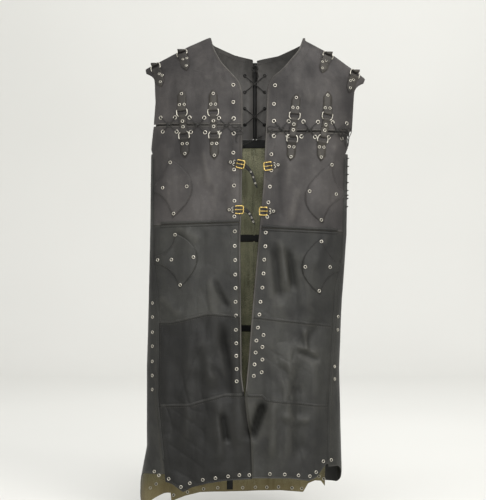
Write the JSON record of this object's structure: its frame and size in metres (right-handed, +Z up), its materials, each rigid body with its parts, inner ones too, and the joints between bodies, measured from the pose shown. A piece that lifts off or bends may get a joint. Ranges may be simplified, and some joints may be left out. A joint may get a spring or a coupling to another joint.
{
  "type": "sleeveless leather work coat",
  "caption": "Long sleeveless leather coat worn as a full protective apron, open down the front, with laced yokes, ring suspenders, shoulder rings and buckled straps.",
  "frame": {"origin": "midway between the neck points at the level of the right neck point, where a hanger carries the shoulders", "axes": "+Z up along the hanging coat, -Y the front, +X towards the wearer's left"},
  "size_m": [0.6214, 0.1849, 1.3017],
  "materials": {
    "upper_leather": "worn waxed leather, low sheen",
    "skirt_leather": "softer leather, low sheen, suede inside",
    "strap_leather": "strap leather, satin",
    "lace": "thin round lace",
    "ring_steel": "nickel-plated wire, light wear",
    "buckle_brass": "polished antique brass"
  },
  "bodies": {
    "coat": {"right_front_yoke": "upper_leather", "right_chest_panel": "upper_leather", "right_hip_panel": "skirt_leather", "right_skirt_panel": "skirt_leather", "right_hem_panel": "skirt_leather", "right_side_panel": "skirt_leather", "right_yoke_lace": "lace", "right_back_yoke": "upper_leather", "right_upper_patch": "strap_leather", "right_lower_patch": "strap_leather", "left_front_yoke": "upper_leather", "left_chest_panel": "upper_leather", "left_hip_panel": "skirt_leather", "left_skirt_panel": "skirt_leather", "left_hem_panel": "skirt_leather", "left_side_panel": "skirt_leather", "left_yoke_lace": "lace", "left_back_yoke": "upper_leather", "left_upper_patch": "strap_leather", "left_lower_patch": "strap_leather", "back_body": "skirt_leather", "back_lace": "lace", "right_outer_upper_tab": "strap_leather", "right_outer_lower_tab": "strap_leather", "right_outer_shoulder_tab": "strap_leather", "right_inner_upper_tab": "strap_leather", "right_inner_lower_tab": "strap_leather", "right_inner_shoulder_tab": "strap_leather", "left_inner_upper_tab": "strap_leather", "left_inner_lower_tab": "strap_leather", "left_inner_shoulder_tab": "strap_leather", "left_outer_upper_tab": "strap_leather", "left_outer_lower_tab": "strap_leather", "left_outer_shoulder_tab": "strap_leather"},
    "right_outer_shoulder_ring": {"right_outer_shoulder_ring": "ring_steel"},
    "right_inner_shoulder_ring": {"right_inner_shoulder_ring": "ring_steel"},
    "left_inner_shoulder_ring": {"left_inner_shoulder_ring": "ring_steel"},
    "left_outer_shoulder_ring": {"left_outer_shoulder_ring": "ring_steel"},
    "right_outer_upper_ring": {"right_outer_upper_ring": "ring_steel"},
    "right_outer_link": {"right_outer_link": "strap_leather"},
    "right_outer_lower_ring": {"right_outer_lower_ring": "ring_steel"},
    "right_inner_upper_ring": {"right_inner_upper_ring": "ring_steel"},
    "right_inner_link": {"right_inner_link": "strap_leather"},
    "right_inner_lower_ring": {"right_inner_lower_ring": "ring_steel"},
    "left_inner_upper_ring": {"left_inner_upper_ring": "ring_steel"},
    "left_inner_link": {"left_inner_link": "strap_leather"},
    "left_inner_lower_ring": {"left_inner_lower_ring": "ring_steel"},
    "left_outer_upper_ring": {"left_outer_upper_ring": "ring_steel"},
    "left_outer_link": {"left_outer_link": "strap_leather"},
    "left_outer_lower_ring": {"left_outer_lower_ring": "ring_steel"},
    "right_upper_buckle": {"right_upper_buckle": "buckle_brass"},
    "right_upper_prong": {"right_upper_prong": "buckle_brass"},
    "right_lower_buckle": {"right_lower_buckle": "buckle_brass"},
    "right_lower_prong": {"right_lower_prong": "buckle_brass"},
    "left_upper_buckle": {"left_upper_buckle": "buckle_brass"},
    "left_upper_prong": {"left_upper_prong": "buckle_brass"},
    "left_lower_buckle": {"left_lower_buckle": "buckle_brass"},
    "left_lower_prong": {"left_lower_prong": "buckle_brass"},
    "upper_billet": {"upper_billet": "strap_leather"},
    "lower_billet": {"lower_billet": "strap_leather"}
  },
  "joints": [
    {"name": "right_outer_shoulder_ring_swing", "type": "hinge", "parent": "coat", "child": "right_outer_shoulder_ring", "pos_m": [-0.27699, -0.01993, -0.088], "axis": [0.8472, -0.3527, 0.3974], "range_deg": [0, 150]},
    {"name": "right_inner_shoulder_ring_swing", "type": "hinge", "parent": "coat", "child": "right_inner_shoulder_ring", "pos_m": [-0.20502, -0.02168, -0.04866], "axis": [0.9256, -0.1528, 0.3462], "range_deg": [0, 150]},
    {"name": "left_inner_shoulder_ring_swing", "type": "hinge", "parent": "coat", "child": "left_inner_shoulder_ring", "pos_m": [0.19207, -0.0204, -0.05464], "axis": [0.9099, 0.117, -0.398], "range_deg": [0, 150]},
    {"name": "left_outer_shoulder_ring_swing", "type": "hinge", "parent": "coat", "child": "left_outer_shoulder_ring", "pos_m": [0.26596, -0.0198, -0.10613], "axis": [0.843, 0.3449, -0.4129], "range_deg": [0, 150]},
    {"name": "right_outer_upper_ring_swing", "type": "hinge", "parent": "coat", "child": "right_outer_upper_ring", "pos_m": [-0.20389, -0.08015, -0.20495], "axis": [-0.9791, 0.1804, -0.0939], "range_deg": [0, 20]},
    {"name": "right_outer_link_lift", "type": "slide", "parent": "coat", "child": "right_outer_link", "axis": [-0.1821, -0.9832, 0.0103], "range_m": [0, 0.0065]},
    {"name": "right_outer_lower_ring_swing", "type": "hinge", "parent": "coat", "child": "right_outer_lower_ring", "pos_m": [-0.19689, -0.08225, -0.28195], "axis": [0.9791, -0.1804, 0.0939], "range_deg": [0, 20]},
    {"name": "right_inner_upper_ring_swing", "type": "hinge", "parent": "coat", "child": "right_inner_upper_ring", "pos_m": [-0.1193, -0.0892, -0.20497], "axis": [-0.9973, 0.0619, -0.0394], "range_deg": [0, 20]},
    {"name": "right_inner_link_lift", "type": "slide", "parent": "coat", "child": "right_inner_link", "axis": [-0.0622, -0.998, 0.0063], "range_m": [0, 0.0065]},
    {"name": "right_inner_lower_ring_swing", "type": "hinge", "parent": "coat", "child": "right_inner_lower_ring", "pos_m": [-0.1163, -0.08987, -0.28197], "axis": [0.9973, -0.0619, 0.0394], "range_deg": [0, 20]},
    {"name": "left_inner_upper_ring_swing", "type": "hinge", "parent": "coat", "child": "left_inner_upper_ring", "pos_m": [0.1003, -0.08924, -0.21406], "axis": [-0.9928, -0.062, 0.1028], "range_deg": [0, 20]},
    {"name": "left_inner_link_lift", "type": "slide", "parent": "coat", "child": "left_inner_link", "axis": [0.0611, -0.9981, -0.0125], "range_m": [0, 0.0065]},
    {"name": "left_inner_lower_ring_swing", "type": "hinge", "parent": "coat", "child": "left_inner_lower_ring", "pos_m": [0.0923, -0.08877, -0.29106], "axis": [0.9928, 0.062, -0.1028], "range_deg": [0, 20]},
    {"name": "left_outer_upper_ring_swing", "type": "hinge", "parent": "coat", "child": "left_outer_upper_ring", "pos_m": [0.18918, -0.07882, -0.21426], "axis": [-0.9514, -0.247, 0.1838], "range_deg": [0, 20]},
    {"name": "left_outer_link_lift", "type": "slide", "parent": "coat", "child": "left_outer_link", "axis": [0.2414, -0.969, -0.0529], "range_m": [0, 0.0065]},
    {"name": "left_outer_lower_ring_swing", "type": "hinge", "parent": "coat", "child": "left_outer_lower_ring", "pos_m": [0.17418, -0.07835, -0.29126], "axis": [0.9514, 0.247, -0.1838], "range_deg": [0, 20]},
    {"name": "right_upper_buckle_swing", "type": "hinge", "parent": "coat", "child": "right_upper_buckle", "pos_m": [-0.05506, -0.0909, -0.35], "axis": [-0.2079, 0.0023, -0.9781], "range_deg": [0, 90]},
    {"name": "right_upper_prong_swing", "type": "hinge", "parent": "right_upper_buckle", "child": "right_upper_prong", "pos_m": [-0.05506, -0.0909, -0.35], "axis": [-0.2079, 0.0023, -0.9781], "range_deg": [0, 70]},
    {"name": "right_lower_buckle_swing", "type": "hinge", "parent": "coat", "child": "right_lower_buckle", "pos_m": [-0.05806, -0.09088, -0.474], "axis": [0, -0.0002, -1], "range_deg": [0, 90]},
    {"name": "right_lower_prong_swing", "type": "hinge", "parent": "right_lower_buckle", "child": "right_lower_prong", "pos_m": [-0.05806, -0.09088, -0.474], "axis": [0, -0.0002, -1], "range_deg": [0, 70]},
    {"name": "left_upper_buckle_swing", "type": "hinge", "parent": "coat", "child": "left_upper_buckle", "pos_m": [0.03706, -0.0906, -0.356], "axis": [-0.1392, -0.0018, 0.9903], "range_deg": [0, 90]},
    {"name": "left_upper_prong_swing", "type": "hinge", "parent": "left_upper_buckle", "child": "left_upper_prong", "pos_m": [0.03706, -0.0906, -0.356], "axis": [-0.1392, -0.0018, 0.9903], "range_deg": [0, 70]},
    {"name": "left_lower_buckle_swing", "type": "hinge", "parent": "coat", "child": "left_lower_buckle", "pos_m": [0.02506, -0.09072, -0.478], "axis": [0, 0.0002, 1], "range_deg": [0, 90]},
    {"name": "left_lower_prong_swing", "type": "hinge", "parent": "left_lower_buckle", "child": "left_lower_prong", "pos_m": [0.02506, -0.09072, -0.478], "axis": [0, 0.0002, 1], "range_deg": [0, 70]},
    {"name": "upper_billet_sway", "type": "hinge", "parent": "right_upper_buckle", "child": "upper_billet", "pos_m": [-0.03569, -0.09113, -0.35412], "axis": [0.2079, -0.0023, 0.9781], "range_deg": [0, 35]},
    {"name": "lower_billet_sway", "type": "hinge", "parent": "right_lower_buckle", "child": "lower_billet", "pos_m": [-0.03826, -0.09112, -0.474], "axis": [0, 0.0002, 1], "range_deg": [0, 35]}
  ],
  "couplings": [
    {"joint": "right_outer_link_lift", "follows": "right_outer_upper_ring_swing", "m_per_rad": 0.0178},
    {"joint": "right_outer_lower_ring_swing", "follows": "right_outer_upper_ring_swing", "ratio": 1},
    {"joint": "right_inner_link_lift", "follows": "right_inner_upper_ring_swing", "m_per_rad": 0.0178},
    {"joint": "right_inner_lower_ring_swing", "follows": "right_inner_upper_ring_swing", "ratio": 1},
    {"joint": "left_inner_link_lift", "follows": "left_inner_upper_ring_swing", "m_per_rad": 0.0178},
    {"joint": "left_inner_lower_ring_swing", "follows": "left_inner_upper_ring_swing", "ratio": 1},
    {"joint": "left_outer_link_lift", "follows": "left_outer_upper_ring_swing", "m_per_rad": 0.0178},
    {"joint": "left_outer_lower_ring_swing", "follows": "left_outer_upper_ring_swing", "ratio": 1}
  ]
}
